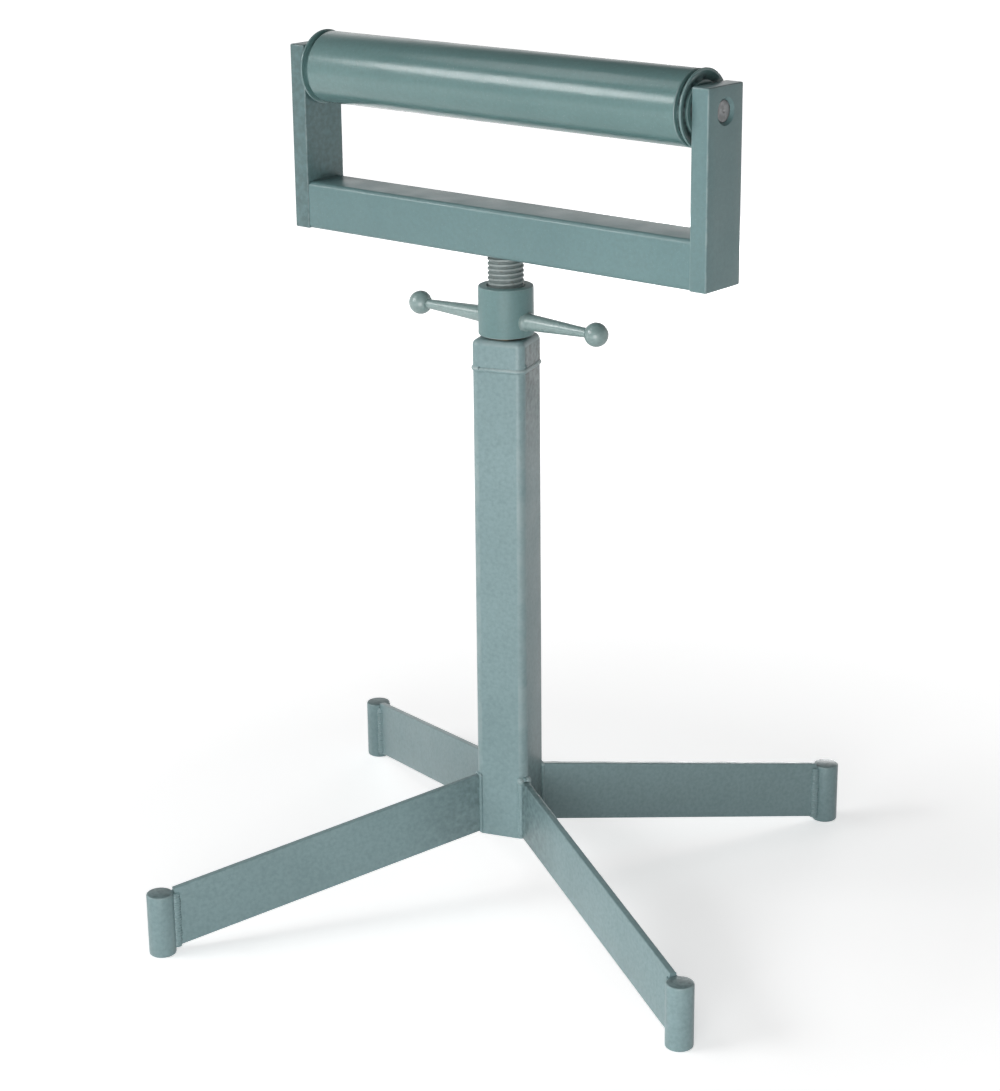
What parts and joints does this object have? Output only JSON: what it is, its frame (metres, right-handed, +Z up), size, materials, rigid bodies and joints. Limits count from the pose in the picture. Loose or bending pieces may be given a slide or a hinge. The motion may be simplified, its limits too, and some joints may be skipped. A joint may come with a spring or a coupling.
{
  "type": "roller stand",
  "caption": "Height-adjustable roller stand: a square column on splayed legs, a collar nut with a ball-ended handle that screws the spindle up, and a swivelling head that carries a long roller.",
  "frame": {"origin": "on the floor, under the axis of the column", "axes": "+X along the roller, +Y to the rear, +Z up along the column"},
  "size_m": [0.597, 0.597, 0.7323],
  "materials": {
    "paint": "semi-gloss grey-green enamel",
    "bare_steel": "turned, oiled",
    "bearing_steel": "ground",
    "bronze": "turned",
    "cage_plastic": "moulded"
  },
  "bodies": {
    "base": {"column_tube": "paint", "column_cap": "paint", "thrust_washer": "bronze", "leg_rear_right": "paint", "leg_rear_left": "paint", "leg_front_left": "paint", "leg_front_right": "paint", "foot_rear_right": "paint", "foot_rear_left": "paint", "foot_front_left": "paint", "foot_front_right": "paint"},
    "nut": {"lifting_nut": "paint", "handle_arm_right": "paint", "handle_arm_left": "paint", "handle_ball_right": "paint", "handle_ball_left": "paint"},
    "screw": {"spindle": "bare_steel", "spindle_guide": "bare_steel", "guide_washer": "bare_steel", "guide_bolt": "bare_steel"},
    "head": {"cross_rail": "paint", "swivel_socket": "bare_steel", "upright_right": "paint", "upright_left": "paint", "axle": "bare_steel", "retaining_ring_right": "bearing_steel", "retaining_ring_left": "bearing_steel", "axle_spacer_right": "bare_steel", "axle_spacer_left": "bare_steel", "bearing_inner_race_right": "bearing_steel", "bearing_inner_race_left": "bearing_steel"},
    "roller": {"roller_tube": "paint", "roller_housing_right": "paint", "roller_housing_left": "paint", "bearing_outer_race_right": "bearing_steel", "bearing_outer_race_left": "bearing_steel", "bearing_shield_right": "bearing_steel", "bearing_shield_left": "bearing_steel"},
    "right_cage": {"bearing_cage_right": "cage_plastic", "bearing_ball_right_1": "bearing_steel", "bearing_ball_right_2": "bearing_steel", "bearing_ball_right_3": "bearing_steel", "bearing_ball_right_4": "bearing_steel", "bearing_ball_right_5": "bearing_steel", "bearing_ball_right_6": "bearing_steel", "bearing_ball_right_7": "bearing_steel", "bearing_ball_right_8": "bearing_steel"},
    "left_cage": {"bearing_cage_left": "cage_plastic", "bearing_ball_left_1": "bearing_steel", "bearing_ball_left_2": "bearing_steel", "bearing_ball_left_3": "bearing_steel", "bearing_ball_left_4": "bearing_steel", "bearing_ball_left_5": "bearing_steel", "bearing_ball_left_6": "bearing_steel", "bearing_ball_left_7": "bearing_steel", "bearing_ball_left_8": "bearing_steel"}
  },
  "joints": [
    {"name": "nut_turn", "type": "hinge", "parent": "base", "child": "nut", "pos_m": [0, 0, 0.51885], "axis": [0, 0, -1], "range_deg": [-2160, 22500]},
    {"name": "head_lift", "type": "slide", "parent": "base", "child": "screw", "axis": [0, 0, 1], "range_m": [-0.024, 0.25]},
    {"name": "head_swivel", "type": "hinge", "parent": "screw", "child": "head", "pos_m": [0, 0, 0.56517], "axis": [0, 0, 1], "continuous": true},
    {"name": "roller_spin", "type": "hinge", "parent": "head", "child": "roller", "pos_m": [0, 0, 0.70127], "axis": [1, 0, 0], "continuous": true},
    {"name": "right_cage_spin", "type": "hinge", "parent": "head", "child": "right_cage", "pos_m": [0, 0, 0.70127], "axis": [1, 0, 0], "continuous": true},
    {"name": "left_cage_spin", "type": "hinge", "parent": "head", "child": "left_cage", "pos_m": [0, 0, 0.70127], "axis": [1, 0, 0], "continuous": true}
  ],
  "couplings": [
    {"joint": "head_lift", "follows": "nut_turn", "m_per_rad": 0.00063662},
    {"joint": "right_cage_spin", "follows": "roller_spin", "ratio": 0.592},
    {"joint": "left_cage_spin", "follows": "roller_spin", "ratio": 0.592}
  ]
}
